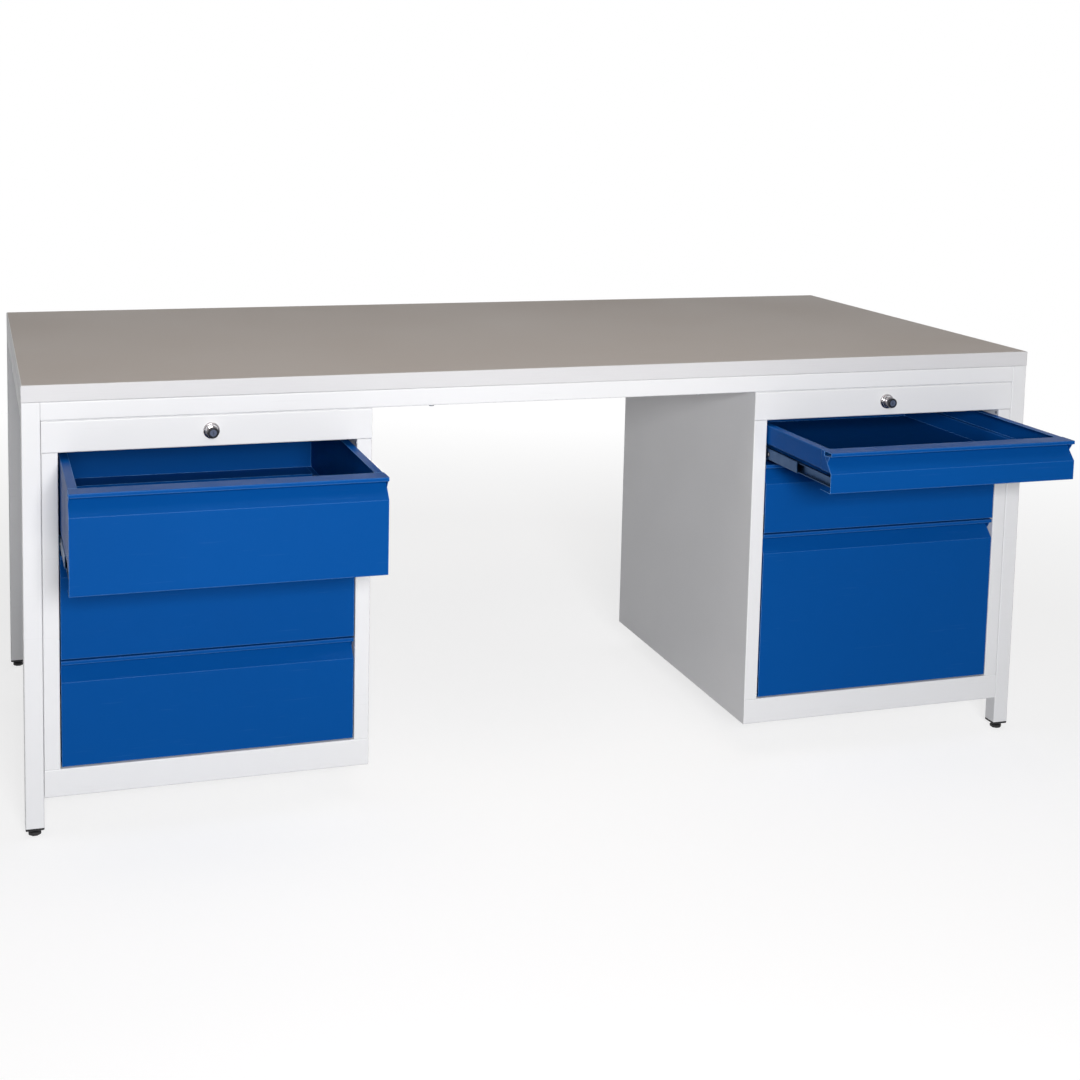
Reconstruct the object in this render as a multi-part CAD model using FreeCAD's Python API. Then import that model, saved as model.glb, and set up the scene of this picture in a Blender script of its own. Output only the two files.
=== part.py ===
"""Teacher desk: welded square-tube frame, laminate worktop and two under-desk drawer cabinets.

Millimetres. X runs to the right, Y to the back, Z up. The origin lies on the floor, at the centre of the
space that the desk takes up with its two top drawers pulled out.
"""
import FreeCAD, Part
import math
import os

Vector = FreeCAD.Vector

# Whole desk
desk_width = 1860.0
desk_depth = 860.0
desk_height = 750.0

# Worktop
top_thickness = 28.0
band_thickness = 2.0
band_bevel = 1.0

# Frame of square tube
tube = 30.0
tube_wall = 2.0
tube_radius = 2.0
frame_lift = 15.0            # floor to the lower end of a leg tube

# Feet
plug_flange = 4.0
plug_insert = 20.0
plug_clearance = 0.2
plug_bevel = 0.8
glide_radius = 11.0
glide_height = 7.0
glide_bevel = 1.5
stem_radius = 5.0
stem_clearance = 0.05
stem_above_plug = 3.0

# Cabinets
cabinet_width = 542.0
cabinet_depth = 620.0
cabinet_lift = 65.0
cabinet_leg_gap = 0.5
sheet = 1.2
bend = 1.4                   # radius at the middle of the bent sheet
stile = 26.0
stile_return = 60.0
panel_height = 53.0
bottom_rail_height = 47.0
rail_return = 20.0

# Drawers, from the top down; the bottom one takes the height that is left
left_pitches = [167.0, 176.0]
right_pitches = [81.0, 131.0]
pulled_out = 235.0           # how far the two top drawers stand open at rest
drawer_sheet = 1.0
front_side_gap = 2.0
front_gap = 3.0              # between one drawer front and the next
top_front_gap = 11.0         # between the lock panel and the top drawer front
lip_inset = 1.0
lip_height = 6.0
grip_depth = 24.0
grip_drop = 9.0              # lip top to the root of the grip
slant_drop = 36.0            # lip top to the bend at the foot of the slant
front_flange = 36.0
front_bottom_return = 16.0
box_side_gap = 3.0
box_flange = 14.0
box_behind_front = 0.5
box_setback = 5.0            # drawer face to the front end of the runner recess
box_above_bottom = 8.0
cheek_gap = 0.3              # cheek to the ledge under it
rear_step = 60.0
ledge_height = 36.0          # drawer bottom to the ledge over the runner
box_rear_gap = 18.0          # drawer box to the cabinet's rear face

# Telescopic runners
runner_height = 24.0
runner_space = 13.0          # cabinet face to drawer side
runner_lift = 18.5           # drawer bottom to the runner's middle
runner_length = 560.0
runner_setbacks = [6.0, 5.0, 4.0]   # drawer face to each member's front end
runner_play = 0.4
runner_sheet = 1.2
member_step = 2.6            # plate of one member to the plate of the next
member_shorter = 20.0

# Locks
lock_drop = 27.0             # cabinet top to the lock's axis
lock_flange_radius = 13.5
lock_flange = 3.5
lock_sleeve_radius = 8.7
lock_sleeve = 16.0
lock_body_radius = 10.0
lock_body = 20.0
lock_hole_clearance = 0.2
nut_radius = 15.0
nut_height = 5.0
plug_radius = 6.0
turning_clearance = 0.05
cap_radius = 9.0
cap_height = 6.0
cap_gap = 0.3
key_slot = [7.0, 1.6, 4.0]   # long, wide, deep
crank = 12.0
crank_pin_radius = 2.5
cam_thickness = 3.0
cam_radius = 8.0
bar_thickness = 3.0
bar_gap = 0.5
bar_width = 13.0
arm_height = 20.0
arm_past_lock = 20.0
slot_play = 2.9
bar_floor_gap = 15.0
catch_width = 6.0
catch_depth = 6.0
catch_height = 10.0
cam_rim = 1.5                # cam metal round the crank pin

# Screws
bolt_radius = 3.0
bolt_head_radius = 5.0
bolt_head = 4.0
bolt_past_wall = 8.0
screw_radius = 2.5
screw_bite = 18.0
screw_clearance = 0.1
bolt_from_return = 32.0      # stile return to the cabinet bolts
screw_from_cabinet = 40.0
screw_from_rail = 20.0
front_screw_x = 250.0

# Derived places
front = -desk_depth / 2
frame_top = desk_height - top_thickness
rail_bottom = frame_top - tube
half_width = desk_width / 2
leg_inner = half_width - tube
cabinet_top = rail_bottom
cabinet_outer = leg_inner - cabinet_leg_gap
cabinet_inner = cabinet_outer - cabinet_width
cabinet_rear = front + cabinet_depth
opening_top = cabinet_top - panel_height
opening_bottom = cabinet_lift + bottom_rail_height
row_shift = pulled_out / 2   # desk's own centre to the row's origin, along Y
lock_x = (cabinet_inner + cabinet_outer) / 2
lock_z = cabinet_top - lock_drop
bar_front = front + stile_return + bar_gap
arm_half = arm_height / 2


def box(low, high):
    return Part.makeBox(high[0] - low[0], high[1] - low[1], high[2] - low[2], Vector(*low))


def rod(radius, start, length, direction):
    return Part.makeCylinder(radius, length, Vector(*start), Vector(*direction))


def ribbon(points, thickness, radius, place, length):
    """Bent sheet: points are the middle line of its section, place turns them into 3-D, length extrudes."""
    half = thickness / 2
    flat = [Vector(u, v, 0) for u, v in points]
    runs = [(b - a).normalize() for a, b in zip(flat, flat[1:])]
    sides = {half: [], -half: []}
    for offset, marks in sides.items():
        normal = Vector(-runs[0].y, runs[0].x, 0)
        marks.append([flat[0] + normal * offset])
        for corner, before, after in zip(flat[1:], runs, runs[1:]):
            turn = math.atan2(before.x * after.y - before.y * after.x, before.dot(after))
            reach = radius * math.tan(abs(turn) / 2)
            inward = Vector(-before.y, before.x, 0) * math.copysign(1, turn)
            centre = corner - before * reach + inward * radius
            arc_radius = radius - offset * math.copysign(1, turn)
            bisector = (after - before).normalize()
            leave = Vector(-after.y, after.x, 0) * math.copysign(1, turn)
            marks.append([centre - inward * arc_radius, centre - bisector * arc_radius,
                          centre - leave * arc_radius])
        normal = Vector(-runs[-1].y, runs[-1].x, 0)
        marks.append([flat[-1] + normal * offset])
    path = sides[half] + [marks[::-1] for marks in sides[-half][::-1]]
    edges = []
    last = path[-1][-1]
    for marks in path:
        edges.append(Part.LineSegment(place(last), place(marks[0])).toShape())
        if len(marks) == 3:
            edges.append(Part.Arc(*[place(mark) for mark in marks]).toShape())
        last = marks[-1]
    return Part.Face(Part.Wire(edges)).extrude(length)


def across(x):
    """Section drawn in the YZ plane at x."""
    return lambda mark: Vector(x, mark.x, mark.y)


def upright(z):
    """Section drawn in the XY plane at z."""
    return lambda mark: Vector(mark.x, mark.y, z)


def lengthwise(y):
    """Section drawn in the XZ plane at y."""
    return lambda mark: Vector(mark.x, y, mark.y)


def along(shape, axis):
    """Edges of a shape that run along one axis."""
    return [edge for edge in shape.Edges
            if isinstance(edge.Curve, Part.Line) and abs(edge.Curve.Direction.dot(axis)) > 0.999]


def square_tube(low, high, axis):
    """Hollow square tube between two corners, open at its ends, which lie along axis (0, 1 or 2)."""
    direction = Vector(*[1.0 if index == axis else 0.0 for index in range(3)])
    outer = box(low, high)
    outer = outer.makeFillet(tube_radius, along(outer, direction))
    wall = [0.0 if index == axis else tube_wall for index in range(3)]
    inner = box([value + step for value, step in zip(low, wall)],
                [value - step for value, step in zip(high, wall)])
    return outer.cut(inner)


def mirrored(shape, side):
    """A cabinet part is drawn for the right cabinet; the left one is its mirror image."""
    if side > 0:
        return shape
    return shape.mirror(Vector(0, 0, 0), Vector(1, 0, 0))


def export(node, shape):
    moved = shape.copy()
    moved.translate(Vector(0, row_shift, 0))
    if not moved.isValid():
        print("not valid:", node)
    print(node, len(moved.Solids), round(moved.Volume))
    moved.exportStep("parts/%s.step" % node)


# Frame

def leg_corners(x_side, y_side):
    x = x_side * (half_width - tube / 2)
    y = y_side * (desk_depth / 2 - tube / 2)
    return [x - tube / 2, y - tube / 2], [x + tube / 2, y + tube / 2]


def leg(x_side, y_side):
    low, high = leg_corners(x_side, y_side)
    return square_tube(low + [frame_lift], high + [frame_top], 2)


def cross_rail_places():
    """Left edges of the four tubes that carry the cabinets."""
    right = [cabinet_inner, cabinet_outer - tube]
    return [-x - tube for x in right[::-1]] + right


def worktop_screw_places():
    rail_middle = tube / 2
    behind = [cabinet_rear + screw_from_cabinet, -front - tube - screw_from_rail]
    places = [(x + rail_middle, y) for x in cross_rail_places() for y in behind]
    return places + [(x, front + rail_middle) for x in (-front_screw_x, front_screw_x)]


def bolt_places():
    """Middle of each cross rail, near the front and the rear of the cabinets."""
    inset = stile_return + bolt_from_return
    reach = [front + inset, cabinet_rear - inset]
    return [(x + tube / 2, y) for x in cross_rail_places() for y in reach]


def drilled(shape, places, radius, low, high):
    for x, y in places:
        shape = shape.cut(rod(radius, (x, y, low), high - low, (0, 0, 1)))
    return shape


def long_rails():
    rails = [square_tube([-leg_inner, y, rail_bottom], [leg_inner, y + tube, frame_top], 0)
             for y in (front, -front - tube)]
    rails[0] = drilled(rails[0], worktop_screw_places()[-2:], screw_radius + screw_clearance,
                       rail_bottom, frame_top)
    return Part.makeCompound(rails)


def side_rails():
    reach = desk_depth / 2 - tube
    return Part.makeCompound([
        square_tube([x, -reach, rail_bottom], [x + tube, reach, frame_top], 1)
        for x in (-half_width, leg_inner)])


def cross_rails():
    reach = desk_depth / 2 - tube
    rails = []
    for x in cross_rail_places():
        rail = square_tube([x, -reach, rail_bottom], [x + tube, reach, frame_top], 1)
        screws = [place for place in worktop_screw_places()[:-2] if abs(place[0] - x - tube / 2) < 1]
        bolts = [place for place in bolt_places() if abs(place[0] - x - tube / 2) < 1]
        rail = drilled(rail, screws, screw_radius + screw_clearance, rail_bottom, frame_top)
        rail = drilled(rail, bolts, bolt_radius + screw_clearance, rail_bottom, rail_bottom + tube_wall)
        rails.append(rail)
    return Part.makeCompound(rails)


def worktop():
    board = box([-half_width + band_thickness, front + band_thickness, frame_top],
                [half_width - band_thickness, -front - band_thickness, desk_height])
    return drilled(board, worktop_screw_places(), screw_radius + screw_clearance,
                   frame_top, frame_top + screw_bite + 1)


def edge_band():
    outer = box([-half_width, front, frame_top], [half_width, -front, desk_height])
    rims = [edge for edge in outer.Edges if edge.BoundBox.ZLength < 1]
    outer = outer.makeChamfer(band_bevel, rims)
    inner = box([-half_width + band_thickness, front + band_thickness, frame_top - 1],
                [half_width - band_thickness, -front - band_thickness, desk_height + 1])
    return outer.cut(inner)


def leg_plug(x_side, y_side):
    low, high = leg_corners(x_side, y_side)
    flange = box(low + [frame_lift - plug_flange], high + [frame_lift])
    flange = flange.makeFillet(tube_radius, along(flange, Vector(0, 0, 1)))
    lower = [edge for edge in flange.Edges
             if abs(edge.BoundBox.ZMax - (frame_lift - plug_flange)) < 1e-3]
    flange = flange.makeChamfer(plug_bevel, lower)
    inset = tube_wall + plug_clearance
    insert = box([low[0] + inset, low[1] + inset, frame_lift],
                 [high[0] - inset, high[1] - inset, frame_lift + plug_insert])
    hole = rod(stem_radius + stem_clearance, ((low[0] + high[0]) / 2, (low[1] + high[1]) / 2, 0),
               frame_lift + plug_insert, (0, 0, 1))
    return flange.fuse(insert).cut(hole)


def glide(x_side, y_side):
    low, high = leg_corners(x_side, y_side)
    middle = ((low[0] + high[0]) / 2, (low[1] + high[1]) / 2)
    corners = [Vector(middle[0] + glide_radius * math.cos(math.radians(22.5 + 45 * step)),
                      middle[1] + glide_radius * math.sin(math.radians(22.5 + 45 * step)), 0)
               for step in range(9)]
    foot = Part.Face(Part.makePolygon(corners)).extrude(Vector(0, 0, glide_height))
    rims = [edge for edge in foot.Edges if edge.BoundBox.ZLength < 1e-3]
    foot = foot.makeChamfer(glide_bevel, rims)
    stem = rod(stem_radius, (middle[0], middle[1], glide_height - 1),
               frame_lift + plug_insert + stem_above_plug - glide_height + 1, (0, 0, 1))
    return foot.fuse(stem)


def bolt(place, head_top, shank, radius, head_radius):
    """Dome-headed screw pointing up, its head under head_top."""
    x, y = place
    head = rod(head_radius, (x, y, head_top - bolt_head), bolt_head, (0, 0, 1))
    rim = [edge for edge in head.Edges
           if edge.Closed and edge.BoundBox.ZMax < head_top - bolt_head / 2 and edge.BoundBox.ZLength < 1e-3]
    head = head.makeFillet(bolt_head / 2, rim)
    socket_drive = rod(radius * 0.6, (x, y, head_top - bolt_head - 1), bolt_head / 2 + 1, (0, 0, 1))
    return head.fuse(rod(radius, (x, y, head_top - 0.5), shank + 0.5, (0, 0, 1))).cut(socket_drive)


def cabinet_bolts():
    under = cabinet_top - sheet
    return Part.makeCompound([bolt(place, under, sheet + tube_wall + bolt_past_wall, bolt_radius,
                                   bolt_head_radius) for place in bolt_places()])


def worktop_screws():
    return Part.makeCompound([bolt(place, rail_bottom, tube + screw_bite, screw_radius, bolt_head_radius)
                              for place in worktop_screw_places()])


# Cabinet, drawn as the right one: its inner side faces the knee space

def cabinet_side(inner):
    """Side sheet, its front and rear edges folded round into stiles; the front one stops at the rails."""
    half = sheet / 2
    low, high = front + half, cabinet_rear - half
    section = [(stile - half, front + stile_return), (stile - half, low), (half, low),
               (half, high), (stile - half, high), (stile - half, cabinet_rear - stile_return)]
    if inner:
        section = [(cabinet_inner + u, v) for u, v in section]
        skin, fold = cabinet_inner, (cabinet_inner + sheet, cabinet_inner + stile)
    else:
        section = [(cabinet_outer - u, v) for u, v in section]
        skin, fold = cabinet_outer - stile, (cabinet_outer - stile, cabinet_outer - sheet)
    top = cabinet_top - sheet
    side = ribbon(section, sheet, bend, upright(cabinet_lift), Vector(0, 0, top - cabinet_lift))
    for z_low, z_high in ((cabinet_lift, opening_bottom), (opening_top, top)):
        edge = box([skin, front, z_low], [skin + stile, front + sheet, z_high])
        stile_end = box([fold[0], front, z_low], [fold[1], front + stile_return, z_high])
        side = side.cut(edge).cut(stile_end)
    return side


def trimmed_ends(rail):
    """A rail as wide as the cabinet, cut back to its face where the side sheets stand behind it."""
    for x in (cabinet_inner, cabinet_outer - sheet):
        rail = rail.cut(box([x, front + sheet, cabinet_lift], [x + sheet, cabinet_rear, cabinet_top]))
    return rail


def cabinet_back():
    return box([cabinet_inner + stile, cabinet_rear - sheet, cabinet_lift + sheet],
               [cabinet_outer - stile, cabinet_rear, cabinet_top - sheet])


def cabinet_roof():
    roof = box([cabinet_inner, front + sheet, cabinet_top - sheet],
               [cabinet_outer, cabinet_rear, cabinet_top])
    places = [place for place in bolt_places() if place[0] > 0]
    return drilled(roof, places, bolt_radius + screw_clearance, cabinet_top - sheet, cabinet_top)


def cabinet_floor():
    """Floor sheet, folded up in front into the bottom rail and notched round the rear stiles."""
    half = sheet / 2
    section = [(front + rail_return, opening_bottom - half), (front + half, opening_bottom - half),
               (front + half, cabinet_lift + half), (cabinet_rear - half, cabinet_lift + half)]
    folded = ribbon(section, sheet, bend, across(cabinet_inner), Vector(cabinet_width, 0, 0))
    for x in (cabinet_inner, cabinet_outer - stile):
        folded = folded.cut(box([x, cabinet_rear - stile_return, cabinet_lift],
                                [x + stile, cabinet_rear, cabinet_lift + sheet]))
    return trimmed_ends(folded)


def lock_panel():
    """Blank panel over the drawers, with returns above and below and the lock's hole."""
    half = sheet / 2
    low, high = opening_top + half, cabinet_top - sheet - half
    section = [(front + rail_return, low), (front + half, low), (front + half, high),
               (front + rail_return, high)]
    panel = ribbon(section, sheet, bend, across(cabinet_inner), Vector(cabinet_width, 0, 0))
    hole = rod(lock_body_radius + lock_hole_clearance, (lock_x, front - 1, lock_z), sheet + 2, (0, 1, 0))
    return trimmed_ends(panel).cut(hole)


# Drawers

def drawer_levels(pitches):
    """Bottom and top of each drawer front, from the top drawer down."""
    levels = []
    upper = opening_top
    for index, pitch in enumerate(pitches):
        gap = top_front_gap if index == 0 else front_gap
        levels.append((upper - pitch, upper - gap))
        upper -= pitch
    levels.append((opening_bottom + front_gap, upper - front_gap))
    return levels


def drawer_front(bottom, top):
    """Folded front: a hemmed lip, the grip under it, a slant, the flat face, a bottom return and cheeks."""
    half = drawer_sheet / 2
    root = front + lip_inset + grip_depth
    section = [(front + front_flange, top - half), (front + lip_inset + half, top - half),
               (front + lip_inset + half, top - lip_height), (root, top - grip_drop),
               (front + half, top - slant_drop), (front + half, bottom + half),
               (front + front_bottom_return, bottom + half)]
    low = cabinet_inner + stile + front_side_gap
    width = cabinet_width - 2 * (stile + front_side_gap)
    folded = ribbon(section, drawer_sheet, drawer_sheet, across(low), Vector(width, 0, 0))
    outline = [(front + front_flange, top - half), (root, top - half), (root, top - grip_drop),
               (front + half, top - slant_drop), (front + half, bottom + half),
               (front + front_flange, bottom + half)]
    for x in (low, low + width - drawer_sheet):
        corners = [Vector(x, y, z) for y, z in outline]
        cheek = Part.Face(Part.makePolygon(corners + corners[:1])).extrude(Vector(drawer_sheet, 0, 0))
        recess = box([x - 1, front + drawer_sheet, bottom + drawer_sheet],
                     [x + drawer_sheet + 1, front + front_flange + 1, bottom + ledge_height])
        folded = folded.fuse(cheek.cut(recess))
    return folded.removeSplitter()


def drawer_box(bottom, top):
    """Sides, ledges over the runners and floor as one folded sheet, with a stepped rear wall."""
    half = drawer_sheet / 2
    wide = cabinet_inner + stile + box_side_gap + half
    narrow = cabinet_inner + stile + runner_space + half
    floor = bottom + box_above_bottom + half
    ledge = bottom + ledge_height + half
    left = [(wide + box_flange - half, top - half), (wide, top - half), (wide, ledge), (narrow, ledge),
            (narrow, floor)]
    right = [(2 * lock_x - u, v) for u, v in left[::-1]]
    start = front + front_flange + box_behind_front
    rear = cabinet_rear - box_rear_gap
    folded = ribbon(left + right, drawer_sheet, drawer_sheet, lengthwise(start), Vector(0, rear - start, 0))
    recess = [(wide - half + cheek_gap, ledge)] + left[3:]
    recess += [(2 * lock_x - u, v) for u, v in recess[::-1]]
    nose = ribbon(recess, drawer_sheet, drawer_sheet, lengthwise(front + box_setback),
                  Vector(0, start - front - box_setback, 0))
    upper_wall = box([wide, rear - drawer_sheet, ledge], [2 * lock_x - wide, rear, top - half])
    shelf = box([narrow, rear - rear_step, ledge - half], [2 * lock_x - narrow, rear, ledge + half])
    lower_wall = box([narrow, rear - rear_step, floor],
                     [2 * lock_x - narrow, rear - rear_step + drawer_sheet, ledge])
    return folded.fuse([nose, upper_wall, shelf, lower_wall]).removeSplitter()


def runner_pair(bottom, level):
    """Both sides' runner members: level 0 is fixed to the cabinet, 1 runs between, 2 is on the drawer."""
    half = runner_sheet / 2
    face = cabinet_inner + stile
    reach = runner_height / 2 - half - level * (runner_sheet + runner_play)
    middle = bottom + runner_lift
    if level == 2:
        plate = face + runner_space - half
        tip = face + 2 * member_step
    else:
        plate = face + half + level * member_step
        tip = face + runner_space - member_step - runner_sheet
    start = front + runner_setbacks[level]
    length = Vector(0, runner_length - level * member_shorter, 0)
    members = []
    for mirror in (False, True):
        section = [(tip, middle + reach), (plate, middle + reach), (plate, middle - reach),
                   (tip, middle - reach)]
        if mirror:
            section = [(2 * lock_x - u, v) for u, v in section]
        members.append(ribbon(section, runner_sheet, runner_sheet, lengthwise(start), length))
    return members


# Locks

def front_rim(shape, y):
    """Round edge of a disc at its front face."""
    return [edge for edge in shape.Edges if edge.Closed and abs(edge.BoundBox.YMax - y) < 1e-3]


def lock_housing():
    flange = rod(lock_flange_radius, (lock_x, front - lock_flange, lock_z), lock_flange, (0, 1, 0))
    flange = flange.makeFillet(lock_flange / 2, front_rim(flange, front - lock_flange))
    sleeve = rod(lock_sleeve_radius, (lock_x, front - lock_sleeve, lock_z), lock_sleeve, (0, 1, 0))
    body = rod(lock_body_radius, (lock_x, front - 0.5, lock_z), lock_body + 0.5, (0, 1, 0))
    bore = rod(plug_radius + turning_clearance, (lock_x, front - lock_sleeve - 1, lock_z),
               lock_sleeve + lock_body + 2, (0, 1, 0))
    corners = [Vector(lock_x + nut_radius * math.cos(math.radians(60 * step)), front + sheet,
                      lock_z + nut_radius * math.sin(math.radians(60 * step))) for step in range(7)]
    nut = Part.Face(Part.makePolygon(corners)).extrude(Vector(0, nut_height, 0))
    nut = nut.cut(rod(lock_body_radius + turning_clearance, (lock_x, front, lock_z), lock_body, (0, 1, 0)))
    return [flange.fuse([sleeve, body]).cut(bore).removeSplitter(), nut]


def lock_cylinder():
    """Turning plug with its black cap and key slot, and the cam with its crank pin behind."""
    cap_front = front - lock_sleeve - cap_gap - cap_height
    cap = rod(cap_radius, (lock_x, cap_front, lock_z), cap_height, (0, 1, 0))
    cap = cap.makeFillet(cap_height / 4, front_rim(cap, cap_front))
    cam_front = bar_front - cam_thickness - bar_gap
    plug = rod(plug_radius, (lock_x, cap_front + 1, lock_z), cam_front - cap_front, (0, 1, 0))
    cam = rod(cam_radius, (lock_x, cam_front, lock_z), cam_thickness, (0, 1, 0))
    tip_radius = crank_pin_radius + cam_rim
    arm = box([lock_x, cam_front, lock_z - tip_radius],
              [lock_x + crank, cam_front + cam_thickness, lock_z + tip_radius])
    tip = rod(tip_radius, (lock_x + crank, cam_front, lock_z), cam_thickness, (0, 1, 0))
    pin = rod(crank_pin_radius, (lock_x + crank, cam_front, lock_z),
              cam_thickness + bar_gap + bar_thickness + 1, (0, 1, 0))
    long, wide, deep = key_slot
    slot = box([lock_x - wide / 2, cap_front - 1, lock_z - long / 2],
               [lock_x + wide / 2, cap_front + deep, lock_z + long / 2])
    return cap.fuse([plug, cam, arm, tip, pin]).cut(slot).removeSplitter()


def locking_bar(levels):
    """Arm behind the lock panel and the upright bar in the stile, with one catch for each drawer."""
    edge = cabinet_inner + stile - bar_gap
    low, high = bar_front, bar_front + bar_thickness
    arm = box([edge - bar_width, low, lock_z - arm_half], [lock_x + arm_past_lock, high, lock_z + arm_half])
    bar = box([edge - bar_width, low, cabinet_lift + sheet + bar_floor_gap], [edge, high, lock_z])
    slot_half = crank_pin_radius + slot_play
    slot = box([lock_x - slot_half, low - 1, lock_z - slot_half],
               [lock_x + crank + slot_half, high + 1, lock_z + slot_half])
    shape = arm.fuse(bar)
    for bottom, top in levels:
        middle = (bottom + top) / 2
        catch = box([edge - bar_width, low, middle - catch_height / 2],
                    [edge - bar_width + catch_width, high + catch_depth, middle + catch_height / 2])
        shape = shape.fuse(catch)
    return shape.cut(slot).removeSplitter()


os.makedirs("parts", exist_ok=True)

export("worktop", worktop())
export("worktop_edge_band", edge_band())
export("long_rails", long_rails())
export("side_rails", side_rails())
export("cross_rails", cross_rails())
export("cabinet_bolts", cabinet_bolts())
export("worktop_screws", worktop_screws())

corner_names = {"front_left": (-1, -1), "front_right": (1, -1), "rear_left": (-1, 1), "rear_right": (1, 1)}
for corner, sides in corner_names.items():
    export("leg_" + corner, leg(*sides))
    export("glide_" + corner, glide(*sides))
export("leg_plugs", Part.makeCompound([leg_plug(*sides) for sides in corner_names.values()]))

housings = []
for hand, side, pitches in (("left", -1, left_pitches), ("right", 1, right_pitches)):
    levels = drawer_levels(pitches)
    name = "cabinet_" + hand
    export(name + "_inner_side", mirrored(cabinet_side(True), side))
    export(name + "_outer_side", mirrored(cabinet_side(False), side))
    export(name + "_back", mirrored(cabinet_back(), side))
    export(name + "_roof", mirrored(cabinet_roof(), side))
    export(name + "_floor", mirrored(cabinet_floor(), side))
    export(name + "_lock_panel", mirrored(lock_panel(), side))
    fixed = [member for bottom, top in levels for member in runner_pair(bottom, 0)]
    export(name + "_fixed_runners", mirrored(Part.makeCompound(fixed), side))
    export("lock_cylinder_" + hand, mirrored(lock_cylinder(), side))
    export("locking_bar_" + hand, mirrored(locking_bar(levels), side))
    housings += [mirrored(solid, side) for solid in lock_housing()]
    for place, (bottom, top) in zip(("top", "middle", "bottom"), levels):
        opened = pulled_out if place == "top" else 0.0
        drawer = "drawer_%s_%s" % (hand, place)
        pieces = {"front": drawer_front(bottom, top), "box": drawer_box(bottom, top),
                  "runners": Part.makeCompound(runner_pair(bottom, 2))}
        for piece, shape in pieces.items():
            shape.translate(Vector(0, -opened, 0))
            export(drawer + "_" + piece, mirrored(shape, side))
        between = Part.makeCompound(runner_pair(bottom, 1))
        between.translate(Vector(0, -opened / 2, 0))
        export(drawer + "_mid_runners", mirrored(between, side))
export("lock_housings", Part.makeCompound(housings))
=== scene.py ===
import math
import bmesh
import bpy
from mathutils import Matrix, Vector


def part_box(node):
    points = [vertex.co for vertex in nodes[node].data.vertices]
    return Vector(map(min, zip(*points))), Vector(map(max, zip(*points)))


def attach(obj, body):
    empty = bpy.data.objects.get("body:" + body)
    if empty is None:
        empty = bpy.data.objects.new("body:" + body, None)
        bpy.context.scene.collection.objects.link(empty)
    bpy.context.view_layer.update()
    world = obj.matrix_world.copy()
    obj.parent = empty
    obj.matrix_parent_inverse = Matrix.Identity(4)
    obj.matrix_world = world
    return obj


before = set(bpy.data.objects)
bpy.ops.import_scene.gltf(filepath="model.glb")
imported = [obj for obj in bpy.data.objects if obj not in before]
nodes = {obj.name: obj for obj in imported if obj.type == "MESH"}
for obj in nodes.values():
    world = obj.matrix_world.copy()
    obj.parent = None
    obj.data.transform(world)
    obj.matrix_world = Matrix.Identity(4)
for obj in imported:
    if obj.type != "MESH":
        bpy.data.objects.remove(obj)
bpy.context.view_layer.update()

hands = ("left", "right")
rows = ("top", "middle", "bottom")
white = (1.0, 1.0, 1.0, 1.0)
print("frame loaded:", len(nodes), "nodes")


def millimetres(value):
    return value / 1000


# helpers that build shader nodes

def place(tree, kind, values=(), **settings):
    # one node, its settings and its unlinked input values
    node = tree.nodes.new(kind)
    for name, value in settings.items():
        setattr(node, name, value)
    for key, value in dict(values).items():
        node.inputs[key].default_value = value
    return node


def link(tree, source, target):
    tree.links.new(source, target)


def mathNode(tree, operation, first, second=None, clamp=False):
    node = place(tree, "ShaderNodeMath", operation=operation, use_clamp=clamp)
    for socket, value in zip(node.inputs, (first, second)):
        if isinstance(value, (int, float)):
            socket.default_value = value
        elif value is not None:
            link(tree, value, socket)
    return node.outputs[0]


def mixColour(tree, factor, first, second, blend="MIX"):
    node = place(tree, "ShaderNodeMix", data_type="RGBA", blend_type=blend)
    for socket, value in ((node.inputs[0], factor), (node.inputs[6], first), (node.inputs[7], second)):
        if isinstance(value, (int, float)):
            socket.default_value = value
        elif isinstance(value, tuple):
            socket.default_value = (*value, 1.0)
        else:
            link(tree, value, socket)
    return node.outputs[2]


def rangeNode(tree, value, fromLow, fromHigh, toLow, toHigh):
    node = place(tree, "ShaderNodeMapRange", {1: fromLow, 2: fromHigh, 3: toLow, 4: toHigh})
    link(tree, value, node.inputs[0])
    return node.outputs[0]


def evenNoise(tree, value, low, high):
    # most of a noise lies between 0.3 and 0.7, which is spread here from low to high
    return rangeNode(tree, value, 0.3, 0.7, low, high)


def objectSpace(tree):
    return place(tree, "ShaderNodeTexCoord").outputs["Object"]


def noiseField(tree, vector, scale, detail, roughness=0.5):
    node = place(tree, "ShaderNodeTexNoise", {"Detail": detail, "Roughness": roughness})
    link(tree, vector, node.inputs["Vector"])
    if isinstance(scale, float):
        node.inputs["Scale"].default_value = scale
    else:
        link(tree, scale, node.inputs["Scale"])
    return node.outputs[0]


def stretched(tree, vector, scale, turn=(0.0, 0.0, 0.0)):
    node = place(tree, "ShaderNodeMapping", {"Rotation": turn, "Scale": scale})
    link(tree, vector, node.inputs["Vector"])
    return node.outputs[0]


def seenDirectly(tree):
    # 1 for what the camera, a mirror or glass shows, 0 for light that falls on the desk
    path = place(tree, "ShaderNodeLightPath")
    return mathNode(tree, "MAXIMUM", path.outputs["Is Camera Ray"],
                    mathNode(tree, "MAXIMUM", path.outputs["Is Glossy Ray"],
                             path.outputs["Is Transmission Ray"]))


def newGroup(name, inputs, outputs):
    tree = bpy.data.node_groups.new(name, "ShaderNodeTree")
    for label, kind, value in inputs:
        socket = tree.interface.new_socket(label, in_out="INPUT", socket_type=kind)
        socket.default_value = value
    for label, kind in outputs:
        tree.interface.new_socket(label, in_out="OUTPUT", socket_type=kind)
    return tree, tree.nodes.new("NodeGroupInput"), tree.nodes.new("NodeGroupOutput")


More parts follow.
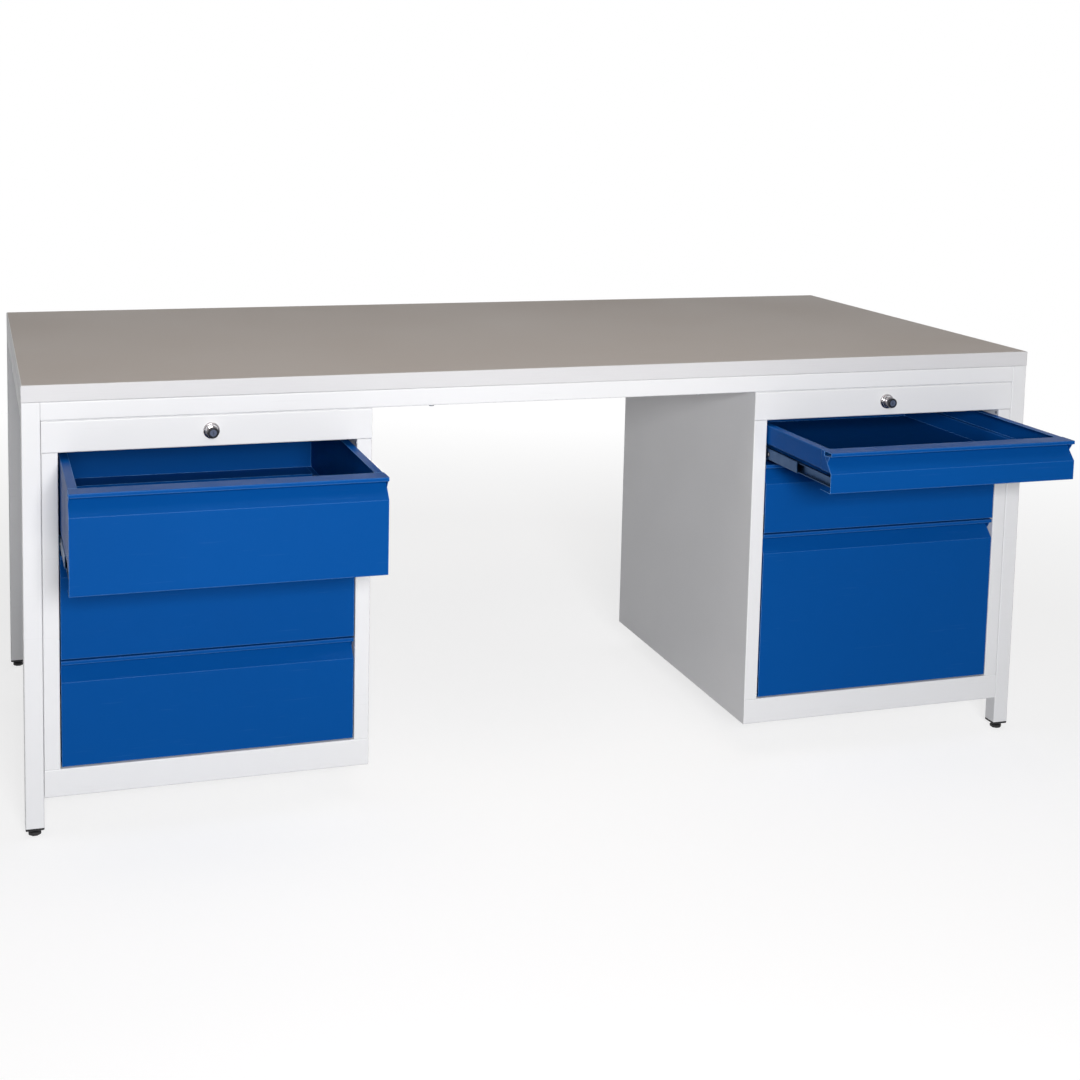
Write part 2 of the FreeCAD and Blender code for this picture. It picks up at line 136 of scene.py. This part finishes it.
# powder coat skin: orange peel height and a soft cloudiness in tone
skinLook = {
    "peelDetail": 3.0, "peelRoughness": 0.45, "poreScale": 1400.0, "poreShare": 0.18,
    "cloudScale": 3.2, "rubScale": 11.0, "rubGloss": (-0.05, 0.06),
}


def makePowderSkin(look):
    tree, given, out = newGroup("powderSkin", [
        ("Cell Size", "NodeSocketFloat", 0.004),
        ("Cloud", "NodeSocketFloat", 0.05),
    ], [("Height", "NodeSocketFloat"), ("Tone", "NodeSocketFloat"), ("Gloss", "NodeSocketFloat")])
    coords = objectSpace(tree)
    cells = mathNode(tree, "DIVIDE", 1.0, given.outputs["Cell Size"])
    peel = noiseField(tree, coords, cells, look["peelDetail"], look["peelRoughness"])
    pores = noiseField(tree, coords, look["poreScale"], 1.0)
    link(tree, mathNode(tree, "ADD", peel, mathNode(tree, "MULTIPLY", pores, look["poreShare"])),
         out.inputs["Height"])
    clouds = noiseField(tree, coords, look["cloudScale"], 4.0, 0.6)
    swing = mathNode(tree, "MULTIPLY", mathNode(tree, "SUBTRACT", clouds, 0.5), given.outputs["Cloud"])
    link(tree, mathNode(tree, "ADD", 1.0, swing), out.inputs["Tone"])
    rubbed = noiseField(tree, coords, look["rubScale"], 6.0, 0.65)
    link(tree, evenNoise(tree, rubbed, *look["rubGloss"]), out.inputs["Gloss"])
    return tree


# softened edges: a rounded normal and a mask along each edge, which carries a painted edge highlight and the
# chips where the coat wears through
edgeMaskLook = {
    "samples": 4, "maskStarts": 0.997, "maskFull": 0.93,     # how well the rounded normal agrees with the face
    "chipStarts": 0.56, "chipFull": 0.68,
}


def makeSoftEdge(look):
    tree, given, out = newGroup("softEdge", [
        ("Radius", "NodeSocketFloat", 0.001),
        ("Wear Scale", "NodeSocketFloat", 60.0),
        ("Wear", "NodeSocketFloat", 0.5),
    ], [("Normal", "NodeSocketVector"), ("Edge", "NodeSocketFloat"), ("Chips", "NodeSocketFloat")])
    rounded = place(tree, "ShaderNodeBevel", samples=look["samples"])
    link(tree, given.outputs["Radius"], rounded.inputs["Radius"])
    link(tree, rounded.outputs[0], out.inputs["Normal"])
    facing = place(tree, "ShaderNodeNewGeometry")
    aligned = place(tree, "ShaderNodeVectorMath", operation="DOT_PRODUCT")
    link(tree, rounded.outputs[0], aligned.inputs[0])
    link(tree, facing.outputs["True Normal"], aligned.inputs[1])
    edge = rangeNode(tree, aligned.outputs["Value"], look["maskStarts"], look["maskFull"], 0.0, 1.0)
    link(tree, edge, out.inputs["Edge"])
    spots = noiseField(tree, objectSpace(tree), given.outputs["Wear Scale"], 5.0, 0.7)
    picked = rangeNode(tree, spots, look["chipStarts"], look["chipFull"], 0.0, 1.0)
    chips = mathNode(tree, "MULTIPLY", mathNode(tree, "MULTIPLY", edge, picked), given.outputs["Wear"])
    link(tree, chips, out.inputs["Chips"])
    return tree


# fine scuffs that run every way, thin and sparse
scuffLook = {
    "runs": ((0.4, 26.0), (1.9, 34.0), (2.7, 20.0)),         # (turn in radians, stretch) of each set
    "thinFrom": 0.69, "thinTo": 0.74,
}


def makeScuffs(look):
    tree, given, out = newGroup("scuffs", [
        ("Scale", "NodeSocketFloat", 12.0),
        ("Amount", "NodeSocketFloat", 0.3),
    ], [("Mask", "NodeSocketFloat")])
    coords = objectSpace(tree)
    total = None
    for turn, stretch in look["runs"]:
        along = stretched(tree, coords, (1.0, stretch, stretch), (turn, turn * 0.7, turn * 1.3))
        streak = noiseField(tree, along, given.outputs["Scale"], 3.0)
        thin = rangeNode(tree, streak, look["thinFrom"], look["thinTo"], 0.0, 1.0)
        total = thin if total is None else mathNode(tree, "MAXIMUM", total, thin)
    link(tree, mathNode(tree, "MULTIPLY", total, given.outputs["Amount"]), out.inputs["Mask"])
    return tree


powderSkin = makePowderSkin(skinLook)
softEdge = makeSoftEdge(edgeMaskLook)
scuffs = makeScuffs(scuffLook)


def useGroup(tree, group, values):
    node = place(tree, "ShaderNodeGroup")
    node.node_tree = group
    for key, value in values.items():
        node.inputs[key].default_value = value
    return node


def newMaterial(name, **shader):
    material = bpy.data.materials.new(name)
    material.use_nodes = True
    tree = material.node_tree
    principled = tree.nodes["Principled BSDF"]
    for key, value in shader.items():
        principled.inputs[key.replace("_", " ")].default_value = value
    return material, tree, principled


def bumpFrom(tree, height, normal, strength, distance, principled):
    bump = place(tree, "ShaderNodeBump", {"Strength": strength, "Distance": distance})
    link(tree, height, bump.inputs["Height"])
    if normal is not None:
        link(tree, normal, bump.inputs["Normal"])
    link(tree, bump.outputs[0], principled.inputs["Normal"])


# powder-coated steel
greyLook = {
    "colour": (0.745, 0.755, 0.775), "edgeHighlightColour": (0.86, 0.865, 0.88), "edgeHighlightLift": 0.35,
    "scuffColour": (0.60, 0.60, 0.61), "chipColour": (0.42, 0.42, 0.43), "wear": 0.35, "wearScale": 70.0,
    "roughness": 0.42, "specular": 0.45, "peelSize": 0.0035, "peelStrength": 0.10, "peelDepth": 0.0006,
    "edgeRadius": 0.0012, "cloud": 0.05, "scuffScale": 9.0, "scuffs": 0.10, "scuffMatt": 0.15,
}
blueLook = {
    "colour": (0.0016, 0.068, 0.285), "edgeHighlightColour": (0.16, 0.38, 0.80), "edgeHighlightLift": 0.95,
    "scuffColour": (0.03, 0.12, 0.36), "chipColour": (0.22, 0.25, 0.30), "wear": 0.30, "wearScale": 70.0,
    "roughness": 0.36, "specular": 0.035, "peelSize": 0.0035, "peelStrength": 0.10, "peelDepth": 0.0006,
    "edgeRadius": 0.0012, "cloud": 0.10, "scuffScale": 10.0, "scuffs": 0.15, "scuffMatt": 0.15,
}


def powderCoat(name, look):
    material, tree, principled = newMaterial(name, Specular_IOR_Level=look["specular"])
    skin = useGroup(tree, powderSkin, {"Cell Size": look["peelSize"], "Cloud": look["cloud"]})
    edge = useGroup(tree, softEdge, {"Radius": look["edgeRadius"], "Wear Scale": look["wearScale"],
                                     "Wear": look["wear"]})
    marks = useGroup(tree, scuffs, {"Scale": look["scuffScale"], "Amount": look["scuffs"]})
    tone = mixColour(tree, 1.0, look["colour"], skin.outputs["Tone"], "MULTIPLY")
    # every edge and fold is lightened towards the edge colour: a painted highlight, not a change in the coat
    paintedEdgeHighlight = mathNode(tree, "MULTIPLY", edge.outputs["Edge"], look["edgeHighlightLift"])
    tone = mixColour(tree, paintedEdgeHighlight, tone, look["edgeHighlightColour"])
    tone = mixColour(tree, marks.outputs[0], tone, look["scuffColour"])
    tone = mixColour(tree, edge.outputs["Chips"], tone, look["chipColour"])
    link(tree, tone, principled.inputs["Base Color"])
    rough = mathNode(tree, "ADD", look["roughness"], skin.outputs["Gloss"])
    matt = mathNode(tree, "MULTIPLY", marks.outputs[0], look["scuffMatt"])
    link(tree, mathNode(tree, "ADD", rough, matt, clamp=True), principled.inputs["Roughness"])
    bumpFrom(tree, skin.outputs["Height"], edge.outputs["Normal"], look["peelStrength"],
             look["peelDepth"], principled)
    return material


# worktop laminate: a fine pearl surface with faint rubbed patches
laminateLook = {
    "colour": (0.460, 0.415, 0.385), "fleckDark": (0.390, 0.351, 0.324), "fleckLight": (0.522, 0.478, 0.448),
    "fleckScale": 900.0, "roughness": 0.50, "roughSwing": 0.06, "specular": 0.14,
    "patchScale": 2.4, "patchTone": (0.97, 1.03), "scuffScale": 7.0, "scuffs": 0.25, "scuffShine": 0.2,
    "pearlScale": 1500.0, "pearlStrength": 0.12, "pearlDepth": 0.0003,
}


def laminate(name, look):
    material, tree, principled = newMaterial(name, Specular_IOR_Level=look["specular"])
    coords = objectSpace(tree)
    flecks = noiseField(tree, coords, look["fleckScale"], 2.0, 0.7)
    dark = rangeNode(tree, flecks, 0.46, 0.34, 0.0, 1.0)
    light = rangeNode(tree, flecks, 0.56, 0.66, 0.0, 1.0)
    tone = mixColour(tree, dark, look["colour"], look["fleckDark"])
    tone = mixColour(tree, light, tone, look["fleckLight"])
    patches = noiseField(tree, coords, look["patchScale"], 5.0, 0.6)
    tone = mixColour(tree, 1.0, tone, evenNoise(tree, patches, *look["patchTone"]), "MULTIPLY")
    marks = useGroup(tree, scuffs, {"Scale": look["scuffScale"], "Amount": look["scuffs"]})
    tone = mixColour(tree, marks.outputs[0], tone, look["fleckLight"])
    link(tree, tone, principled.inputs["Base Color"])
    rough = mathNode(tree, "ADD", look["roughness"],
                     evenNoise(tree, patches, -look["roughSwing"], look["roughSwing"]))
    shine = mathNode(tree, "MULTIPLY", marks.outputs[0], look["scuffShine"])
    link(tree, mathNode(tree, "SUBTRACT", rough, shine, clamp=True), principled.inputs["Roughness"])
    pearl = place(tree, "ShaderNodeTexVoronoi", {"Scale": look["pearlScale"]}, feature="SMOOTH_F1")
    link(tree, coords, pearl.inputs["Vector"])
    bumpFrom(tree, pearl.outputs["Distance"], None, look["pearlStrength"], look["pearlDepth"], principled)
    return material


# edge banding: pale satin plastic with faint drag lines along its length
edgingLook = {
    "colour": (0.63, 0.632, 0.65), "chipColour": (0.35, 0.33, 0.31), "specular": 0.45,
    "roughness": (0.37, 0.48), "dragStretch": (1.0, 1.0, 60.0), "dragScale": 22.0,
    "dragTone": (0.975, 1.02), "dragStrength": 0.06, "dragDepth": 0.0004,
    "edgeRadius": 0.0015, "wear": 0.3, "wearScale": 45.0,
}


def edging(name, look):
    material, tree, principled = newMaterial(name, Specular_IOR_Level=look["specular"])
    along = stretched(tree, objectSpace(tree), look["dragStretch"])
    drag = noiseField(tree, along, look["dragScale"], 4.0, 0.6)
    edge = useGroup(tree, softEdge, {"Radius": look["edgeRadius"], "Wear Scale": look["wearScale"],
                                     "Wear": look["wear"]})
    tone = mixColour(tree, 1.0, look["colour"], evenNoise(tree, drag, *look["dragTone"]), "MULTIPLY")
    tone = mixColour(tree, edge.outputs["Chips"], tone, look["chipColour"])
    link(tree, tone, principled.inputs["Base Color"])
    link(tree, evenNoise(tree, drag, *look["roughness"]), principled.inputs["Roughness"])
    bumpFrom(tree, drag, edge.outputs["Normal"], look["dragStrength"], look["dragDepth"], principled)
    return material


# plated steel: brushed grain under a patchy bloom
zincLook = {
    "colour": (0.34, 0.36, 0.39), "bloomColour": (0.42, 0.43, 0.44), "roughness": 0.34, "roughSwing": 0.08,
    "grainStretch": (1.0, 0.06, 1.0), "grainScale": 260.0, "edgeRadius": 0.0006, "bump": 0.10,
}
# runner steel: plated steel darkened to a deep blue, which is painted shade and a painted reflection of the
# blue drawer fronts
runnerShadeLook = {
    "colour": (0.022, 0.070, 0.175), "bloomColour": (0.045, 0.100, 0.200), "roughness": 0.38,
    "roughSwing": 0.08, "grainStretch": (1.0, 0.06, 1.0), "grainScale": 260.0, "edgeRadius": 0.0006,
    "bump": 0.10,
}
chromeLook = {
    "colour": (0.40, 0.375, 0.385), "bloomColour": (0.34, 0.325, 0.34), "roughness": 0.12, "roughSwing": 0.05,
    "grainStretch": (1.0, 1.0, 1.0), "grainScale": 500.0, "edgeRadius": 0.0005, "bump": 0.03,
}
grainDepth = 0.0002


def platedSteel(name, look):
    material, tree, principled = newMaterial(name, Metallic=1.0)
    coords = objectSpace(tree)
    grain = noiseField(tree, stretched(tree, coords, look["grainStretch"]), look["grainScale"], 4.0, 0.6)
    bloom = noiseField(tree, coords, 26.0, 5.0, 0.65)
    tone = mixColour(tree, rangeNode(tree, bloom, 0.35, 0.65, 0.0, 1.0), look["colour"], look["bloomColour"])
    tone = mixColour(tree, 1.0, tone, evenNoise(tree, grain, 0.94, 1.04), "MULTIPLY")
    link(tree, tone, principled.inputs["Base Color"])
    link(tree, evenNoise(tree, grain, look["roughness"] - look["roughSwing"],
                         look["roughness"] + look["roughSwing"]), principled.inputs["Roughness"])
    edge = useGroup(tree, softEdge, {"Radius": look["edgeRadius"]})
    bumpFrom(tree, grain, edge.outputs["Normal"], look["bump"], grainDepth, principled)
    return material


# black parts whose hidden shank is metal: beyond a level along one axis the metal begins
nylonLook = {
    "colour": (0.012, 0.012, 0.014), "dustColour": (0.10, 0.095, 0.09), "dust": 0.35,
    "metalColour": (0.62, 0.63, 0.65), "roughness": 0.46, "metalSmoother": 0.14,
}
lockCapLook = {
    "colour": (0.010, 0.011, 0.016), "dustColour": (0.05, 0.05, 0.055), "dust": 0.2,
    "metalColour": (0.70, 0.70, 0.72), "roughness": 0.30, "metalSmoother": 0.18,
    "coreRadius": millimetres(5.6), "coreColour": (0.085, 0.105, 0.165),
}
blackDetail = {
    "specular": 0.28, "fineScale": 700.0, "dustScale": 40.0, "roughSwing": 0.06,
    "edgeRadius": 0.0006, "fineStrength": 0.08, "fineDepth": 0.0002,
}
lockLow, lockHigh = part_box("lock_housings")
lockReach = millimetres(15.0)                                # from a lock's axis to its housing's outer side
lockAxis = Vector((lockHigh.x - lockReach, 0, (lockLow.z + lockHigh.z) / 2))


def blackOverMetal(name, look, axis, level):
    material, tree, principled = newMaterial(name, Specular_IOR_Level=blackDetail["specular"])
    coords = objectSpace(tree)
    split = place(tree, "ShaderNodeSeparateXYZ")
    link(tree, coords, split.inputs[0])
    metal = mathNode(tree, "GREATER_THAN", split.outputs[axis], level)
    fine = noiseField(tree, coords, blackDetail["fineScale"], 3.0)
    dust = noiseField(tree, coords, blackDetail["dustScale"], 5.0, 0.7)
    tone = mixColour(tree, rangeNode(tree, dust, 0.5, 0.8, 0.0, look["dust"]), look["colour"],
                     look["dustColour"])
    if "coreRadius" in look:
        beside = mathNode(tree, "SUBTRACT", mathNode(tree, "ABSOLUTE", split.outputs["X"]), lockAxis.x)
        above = mathNode(tree, "SUBTRACT", split.outputs["Z"], lockAxis.z)
        off = mathNode(tree, "ADD", mathNode(tree, "POWER", beside, 2.0), mathNode(tree, "POWER", above, 2.0))
        core = mathNode(tree, "LESS_THAN", off, look["coreRadius"] ** 2)
        tone = mixColour(tree, core, tone, look["coreColour"])
    tone = mixColour(tree, metal, tone, look["metalColour"])
    link(tree, tone, principled.inputs["Base Color"])
    link(tree, metal, principled.inputs["Metallic"])
    plain = evenNoise(tree, fine, look["roughness"] - blackDetail["roughSwing"],
                      look["roughness"] + blackDetail["roughSwing"])
    smoother = mathNode(tree, "MULTIPLY", metal, look["metalSmoother"])
    link(tree, mathNode(tree, "SUBTRACT", plain, smoother, clamp=True), principled.inputs["Roughness"])
    edge = useGroup(tree, softEdge, {"Radius": blackDetail["edgeRadius"]})
    bumpFrom(tree, fine, edge.outputs["Normal"], blackDetail["fineStrength"], blackDetail["fineDepth"],
             principled)
    return material


# finishes on the frame's own pieces
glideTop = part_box("leg_plugs")[0].z
capDepth = millimetres(6.1)                                  # the black cap over the lock's plug
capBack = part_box("lock_cylinder_right")[0].y + capDepth
aboveDesk = 2.0                                              # a level that nothing reaches, so black all over


def finish(material, *names, starts="", ends=""):
    # the named nodes, or every node whose name starts and ends so
    for name in names or [name for name in nodes if name.startswith(starts) and name.endswith(ends)]:
        node = nodes[name]
        node.data.materials.clear()
        node.data.materials.append(material)
        for polygon in node.data.polygons:
            polygon.material_index = 0


framePaint = powderCoat("framePaint", greyLook)
cabinetPaint = powderCoat("cabinetPaint", greyLook)
cabinetSidePaint = powderCoat("cabinetSidePaint", greyLook)
drawerPaint = powderCoat("drawerPaint", blueLook)
zincPlate = platedSteel("zincPlate", zincLook)
runnerShadedZinc = platedSteel("runnerShadedZinc", runnerShadeLook)
lockChrome = platedSteel("lockChrome", chromeLook)
lockCap = blackOverMetal("lockCap", lockCapLook, "Y", capBack)
glideNylon = blackOverMetal("glideNylon", nylonLook, "Z", glideTop)
blackNylon = blackOverMetal("blackNylon", nylonLook, "Z", aboveDesk)

finish(laminate("greyLaminate", laminateLook), "worktop")
finish(edging("paleEdging", edgingLook), "worktop_edge_band")
finish(framePaint, "leg_front_left", "leg_front_right", "leg_rear_left", "leg_rear_right")
finish(framePaint, ends="_rails")
finish(cabinetPaint, starts="cabinet_", ends=("back", "roof", "floor", "lock_panel"))
finish(cabinetSidePaint, ends=("inner_side", "outer_side"))
finish(drawerPaint, starts="drawer_", ends=("_front", "_box"))
finish(zincPlate, ends=("_bolts", "_screws"))
finish(zincPlate, starts="locking_bar")
finish(runnerShadedZinc, ends="runners")
finish(lockChrome, "lock_housings")
finish(lockCap, "lock_cylinder_left", "lock_cylinder_right")
finish(glideNylon, starts="glide_")
finish(blackNylon, "leg_plugs")
print("finishes done")


# small fittings, each riding on the body that carries it

def addFitting(name, shape, body, material, smoothUnder=0.0):
    bmesh.ops.recalc_face_normals(shape, faces=shape.faces)
    mesh = bpy.data.meshes.new(name)
    shape.to_mesh(mesh)
    shape.free()
    if smoothUnder:
        mesh.shade_smooth()
        mesh.set_sharp_from_angle(angle=math.radians(smoothUnder))
    mesh.materials.append(material)
    piece = bpy.data.objects.new(name, mesh)
    bpy.context.scene.collection.objects.link(piece)
    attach(piece, body)


def addTurned(shape, look, centre, way):
    # the profile holds (radius, distance along the axis) in millimetres
    axis = Vector(way)
    across = axis.orthogonal().normalized()
    up = axis.cross(across)
    steps = look["steps"]
    rings = []
    for radius, distance in look["profile"]:
        middle = centre + axis * millimetres(distance)
        if radius == 0:
            rings.append([shape.verts.new(middle)] * steps)
            continue
        angles = [2 * math.pi * step / steps for step in range(steps)]
        rings.append([shape.verts.new(middle + (across * math.cos(angle) + up * math.sin(angle))
                                      * millimetres(radius)) for angle in angles])
    pairs = list(zip(rings, rings[1:])) + ([(rings[-1], rings[0])] if look["closed"] else [])
    for first, second in pairs:
        for step in range(steps):
            following = (step + 1) % steps
            corners = [first[step], first[following], second[following], second[step]]
            shape.faces.new(list(dict.fromkeys(corners)))    # at a pole two corners are one


def turnedFittings(name, look, spots, body, material):
    shape = bmesh.new()
    for centre, way in spots:
        addTurned(shape, look, Vector(centre), way)
    addFitting(name, shape, body, material, smoothUnder=40.0)


# rivets that hold each stile's return, beside the top of the drawer opening
stileRivet = {
    "profile": [(0, 0), (2.6, 0), (2.6, 0.4), (2.1, 0.9), (1.2, 1.15), (0, 1.2)], "steps": 24, "closed": False,
    "behindFront": 8.0, "underPanel": 7.0,
}


def rivetSpots(look):
    spots = []
    for hand, side in zip(hands, (-1, 1)):
        inner, outer = (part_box("cabinet_%s_%s" % (hand, piece)) for piece in ("inner_side", "outer_side"))
        faces = (inner[1].x, outer[0].x) if side > 0 else (inner[0].x, outer[1].x)
        y = inner[0].y + millimetres(look["behindFront"])
        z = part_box("cabinet_%s_lock_panel" % hand)[0].z - millimetres(look["underPanel"])
        spots += [((faces[0], y, z), (side, 0, 0)), ((faces[1], y, z), (-side, 0, 0))]
    return spots


turnedFittings("stile_rivets", stileRivet, rivetSpots(stileRivet), "desk", zincPlate)

# stop rivets through the middle member of each runner, each in a dark washer
stopRivet = {
    "profile": [(0, 0), (2.3, 0), (2.3, 0.5), (1.8, 0.85), (1.0, 1.0), (0, 1.05)], "steps": 24, "closed": False,
    "alongMember": (108.0, 300.0, 480.0),
}
stopWasher = {
    "profile": [(2.2, 0), (4.6, 0), (4.6, 0.3), (4.2, 0.45), (2.2, 0.45)], "steps": 32, "closed": True,
}
for hand in hands:
    for row in rows:
        low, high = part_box("drawer_%s_%s_mid_runners" % (hand, row))
        z = (low.z + high.z) / 2
        spots = []
        for along in stopRivet["alongMember"]:
            y = low.y + millimetres(along)
            spots += [((low.x, y, z), (-1, 0, 0)), ((high.x, y, z), (1, 0, 0))]
        body = "mid_runners_%s_%s" % (hand, row)
        turnedFittings("stop_rivets_%s_%s" % (hand, row), stopRivet, spots, body, zincPlate)
        turnedFittings("stop_washers_%s_%s" % (hand, row), stopWasher, spots, body, blackNylon)

# small webs that close the two ends of the grip, under each drawer's lip
gripWeb = {
    "outline": [(7.0, -7.4), (24.6, -9.4), (15.0, -18.8)],   # (behind the front, below the lip) in millimetres
    "thickness": 1.0,
}


def makeGripWebs(name, front, body, look):
    low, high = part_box(front)
    shape = bmesh.new()
    for x, inward in ((low.x, 1), (high.x, -1)):
        near, far = ([shape.verts.new((x + inward * millimetres(depth), low.y + millimetres(behind),
                                       high.z + millimetres(below))) for behind, below in look["outline"]]
                     for depth in (0, look["thickness"]))
        shape.faces.new(near)
        shape.faces.new(far[::-1])
        for index in range(len(near)):
            after = (index + 1) % len(near)
            shape.faces.new([near[index], near[after], far[after], far[index]])
    addFitting(name, shape, body, drawerPaint)


for hand in hands:
    for row in rows:
        makeGripWebs("grip_webs_%s_%s" % (hand, row), "drawer_%s_%s_front" % (hand, row),
                     "drawer_%s_%s" % (hand, row), gripWeb)

# rings round each lock's sleeve: a black ring between flange and sleeve that stands in for the shadow and dark
# reflection there (painted shade), and a chrome ferrule
lockShadeRing = {
    "profile": [(8.6, 3.4), (10.6, 3.4), (10.9, 4.0), (10.4, 5.0), (8.6, 5.2)], "steps": 48, "closed": True,
}
lockFerrule = {
    "profile": [(8.6, 9.0), (9.3, 9.0), (9.8, 9.6), (9.9, 10.6), (9.8, 11.6), (9.3, 12.2), (8.6, 12.2)],
    "steps": 48, "closed": True,
}
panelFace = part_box("cabinet_right_lock_panel")[0].y
lockSpots = [((side * lockAxis.x, panelFace, lockAxis.z), (0, -1, 0)) for side in (-1, 1)]
turnedFittings("lock_shade_rings", lockShadeRing, lockSpots, "desk", lockCap)
turnedFittings("lock_ferrules", lockFerrule, lockSpots, "desk", lockChrome)
print("fittings done")


# floor and background
floorLook = {
    "colour": (0.50, 0.50, 0.51), "size": 40.0, "shown": (0.33, 0.33, 0.335), "lift": 0.72,
    "fadeFrom": 1.5, "fadeTo": 3.4, "mottle": (0.995, 1.005), "roughness": 0.9,
}
worldStrength = 0.11


def makeFloor(look):
    half = look["size"] / 2
    mesh = bpy.data.meshes.new("floor")
    mesh.from_pydata([(-half, -half, 0), (half, -half, 0), (half, half, 0), (-half, half, 0)], [],
                     [(0, 1, 2, 3)])
    floor = bpy.data.objects.new("floor", mesh)
    bpy.context.scene.collection.objects.link(floor)
    material, tree, principled = newMaterial("floorWhite", Roughness=look["roughness"],
                                             Specular_IOR_Level=0.0, Emission_Color=white)
    seen = seenDirectly(tree)
    mottle = noiseField(tree, objectSpace(tree), 1.5, 4.0)
    tone = mixColour(tree, seen, look["colour"], look["shown"])
    tone = mixColour(tree, 1.0, tone, evenNoise(tree, mottle, *look["mottle"]), "MULTIPLY")
    link(tree, tone, principled.inputs["Base Color"])
    link(tree, mathNode(tree, "MULTIPLY", seen, look["lift"]), principled.inputs["Emission Strength"])
    # far from the desk the shown floor turns into plain white
    away = place(tree, "ShaderNodeVectorMath", operation="LENGTH")
    link(tree, objectSpace(tree), away.inputs[0])
    fade = rangeNode(tree, away.outputs["Value"], look["fadeFrom"], look["fadeTo"], 0.0, 1.0)
    plain = place(tree, "ShaderNodeEmission", {"Color": white, "Strength": 1.0})
    blend = place(tree, "ShaderNodeMixShader")
    link(tree, mathNode(tree, "MULTIPLY", fade, seen), blend.inputs[0])
    link(tree, principled.outputs[0], blend.inputs[1])
    link(tree, plain.outputs[0], blend.inputs[2])
    link(tree, blend.outputs[0], tree.nodes["Material Output"].inputs["Surface"])
    mesh.materials.append(material)


def makeWorld(strength):
    world = bpy.data.worlds.new("softWorld")
    world.use_nodes = True
    bpy.context.scene.world = world
    tree = world.node_tree
    shown = tree.nodes["Background"]
    shown.inputs["Color"].default_value = white
    link(tree, rangeNode(tree, seenDirectly(tree), 0.0, 1.0, strength, 1.0), shown.inputs["Strength"])


makeFloor(floorLook)
makeWorld(worldStrength)

# lamps; the back one stands lower than the worktop, so that it leaves no glare there
lightLooks = {
    "frontSoftbox": {"spot": (-0.75, -3.9, 1.53), "target": (0.1, 0.0, 0.5), "size": (1.1, 0.7), "power": 137,
                     "colour": (1.0, 0.99, 0.985)},
    "topSoftbox": {"spot": (-0.2, -0.8, 2.7), "target": (0.0, -0.4, 0.7), "size": (2.2, 1.2), "power": 15,
                   "colour": (1.0, 0.92, 0.83)},
    "backSoftbox": {"spot": (1.5, 3.9, 0.4), "target": (0.0, 0.0, 0.4), "size": (1.8, 0.5), "power": 75,
                    "colour": (1.0, 0.99, 0.985)},
}


def makeLight(name, look):
    data = bpy.data.lights.new(name, "AREA")
    data.shape = "RECTANGLE"
    data.size, data.size_y = look["size"]
    data.energy = look["power"]
    data.color = look["colour"]
    light = bpy.data.objects.new(name, data)
    light.location = look["spot"]
    aim = Vector(look["target"]) - light.location
    light.rotation_euler = aim.to_track_quat("-Z", "Y").to_euler()
    light.visible_camera = False
    bpy.context.scene.collection.objects.link(light)


for lightName, lightLook in lightLooks.items():
    makeLight(lightName, lightLook)

# camera, with its angles in degrees
cameraLook = {
    "spot": (-1.0126, -3.0192, 1.2394), "yaw": 17.559, "pitch": 6.355, "roll": 1.125,
    "sensor": 36.0, "lens": 55.66, "shift": (0.0474, -0.25),
}


def makeCamera(look):
    data = bpy.data.cameras.new("camera")
    data.sensor_width = look["sensor"]
    data.lens = look["lens"]
    data.shift_x, data.shift_y = look["shift"]
    camera = bpy.data.objects.new("camera", data)
    camera.location = look["spot"]
    yaw, pitch = math.radians(look["yaw"]), math.radians(look["pitch"])
    ahead = Vector((math.sin(yaw) * math.cos(pitch), math.cos(yaw) * math.cos(pitch), -math.sin(pitch)))
    camera.rotation_euler = ahead.to_track_quat("-Z", "Y").to_euler()
    camera.rotation_euler.rotate_axis("Z", math.radians(look["roll"]))
    bpy.context.scene.collection.objects.link(camera)
    bpy.context.scene.camera = camera


makeCamera(cameraLook)
bpy.context.scene.view_settings.view_transform = "Standard"
print("stage done")
